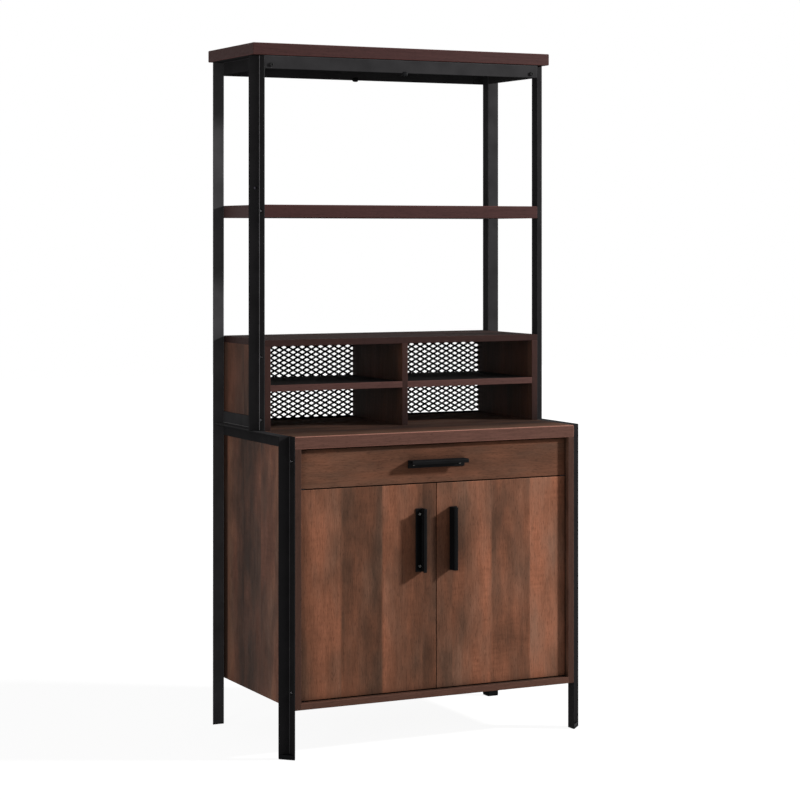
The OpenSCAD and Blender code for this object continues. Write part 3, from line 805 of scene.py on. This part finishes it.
def white_seen(name, bounced, seen_as, glow, share):
    """A pale paper that the camera and reflections see as white, with a faint shadow left in it. It bounces
    less light than it shows, as a studio floor does that is lit for the picture and not for the object. Its
    colour is seen_as to the camera and bounced to all other light, and near the hutch the given share of what
    is seen is its own glow."""
    material, tree, shader = new_material(name, {"Roughness": 0.9, "Specular IOR Level": 0.0})
    camera_ray, seen = seen_rays(tree)
    paper = add_node(tree, "Mix", {0: camera_ray, 6: bounced, 7: seen_as}, data_type="RGBA")
    tree.links.new(paper.outputs[2], shader.inputs["Base Color"])
    place = add_node(tree, "TexCoord")
    away = add_node(tree, "VectorMath", {0: place.outputs["Object"]}, operation="LENGTH")
    whiter = add_node(
        tree,
        "MapRange",
        {
            "Value": away.outputs["Value"],
            "From Min": FADE_STARTS,
            "From Max": FADE_ENDS,
            "To Min": share,
            "To Max": 1.0,
        },
    )
    part = add_node(tree, "Math", {0: seen, 1: whiter.outputs[0]}, operation="MULTIPLY")
    lamp = add_node(tree, "Emission", {"Color": WHITE, "Strength": glow})
    mixed = add_node(tree, "MixShader", {0: part.outputs[0], 1: shader.outputs[0], 2: lamp.outputs[0]})
    out = next(n for n in tree.nodes if n.type == "OUTPUT_MATERIAL")
    tree.links.new(mixed.outputs[0], out.inputs["Surface"])
    return material


def soft_box(name, place, target, size, watts):
    """A square studio lamp at place that faces target."""
    lamp = bpy.data.lights.new(name, "AREA")
    lamp.shape = "SQUARE"
    lamp.size = size
    lamp.energy = watts
    holder = bpy.data.objects.new(name, lamp)
    bpy.context.scene.collection.objects.link(holder)
    holder.location = place
    away = np.array(target, float) - np.array(place, float)
    flat = math.hypot(away[0], away[1])
    # The lamp shines along its own -Z: tipped up from straight down, then turned round the upright
    holder.rotation_euler = (math.atan2(flat, -away[2]), 0, math.atan2(-away[0], away[1]))


floor_mesh = bpy.data.meshes.new("studio_floor")
floor_corners = [(x * FLOOR_HALF, y * FLOOR_HALF, 0) for x, y in ((-1, -1), (1, -1), (1, 1), (-1, 1))]
floor_mesh.from_pydata(floor_corners, [], [(0, 1, 2, 3)])
floor_mesh.materials.append(
    white_seen(
        "pale_paper_floor", bounced=(0.3, 0.3, 0.3, 1), seen_as=(0.9, 0.9, 0.9, 1), glow=1.13, share=0.82
    )
)
floor = bpy.data.objects.new("studio_floor", floor_mesh)
bpy.context.scene.collection.objects.link(floor)

world = bpy.data.worlds.new("studio_world")
bpy.context.scene.world = world
world.use_nodes = True
sky = world.node_tree
sky.nodes.clear()
soft_sky = add_node(sky, "Background", {"Color": WHITE, "Strength": AMBIENT})
white_sky = add_node(sky, "Background", {"Color": WHITE, "Strength": 1.0})
both = add_node(sky, "MixShader", {0: seen_rays(sky)[1], 1: soft_sky.outputs[0], 2: white_sky.outputs[0]})
add_node(sky, "OutputWorld", {"Surface": both.outputs[0]})

# The pulls' shadows in the photograph fall to the left at 62 degrees from the front and 24 degrees downwards
soft_box("key_light", place=(4.1, -2.35, 2.76), target=(0, -0.2, 0.7), size=0.45, watts=370)
soft_box("fill_light", place=(-3.85, -2.7, 1.3), target=(0, 0, 0.8), size=1.6, watts=52)

# The camera that fits the edges in the photograph, in pixels of the picture. It is level, so a shift brings
# the horizon to its row.
PICTURE, FOCAL_LENGTH, HORIZON_ROW = 800, 2252.5, 235.65
SENSOR = 36
YAW = math.radians(26.27)
camera_data = bpy.data.cameras.new("photograph_view")
camera_data.sensor_width = SENSOR
camera_data.lens = FOCAL_LENGTH / PICTURE * SENSOR
camera_data.shift_y = (HORIZON_ROW - PICTURE / 2) / PICTURE
camera_data.clip_end = 60
camera = bpy.data.objects.new("photograph_view", camera_data)
camera.location = (-2.584, -5.256, 1.274)
camera.rotation_euler = (math.radians(90), 0, -YAW)
bpy.context.scene.collection.objects.link(camera)
bpy.context.scene.camera = camera
bpy.context.scene.view_settings.view_transform = "Standard"
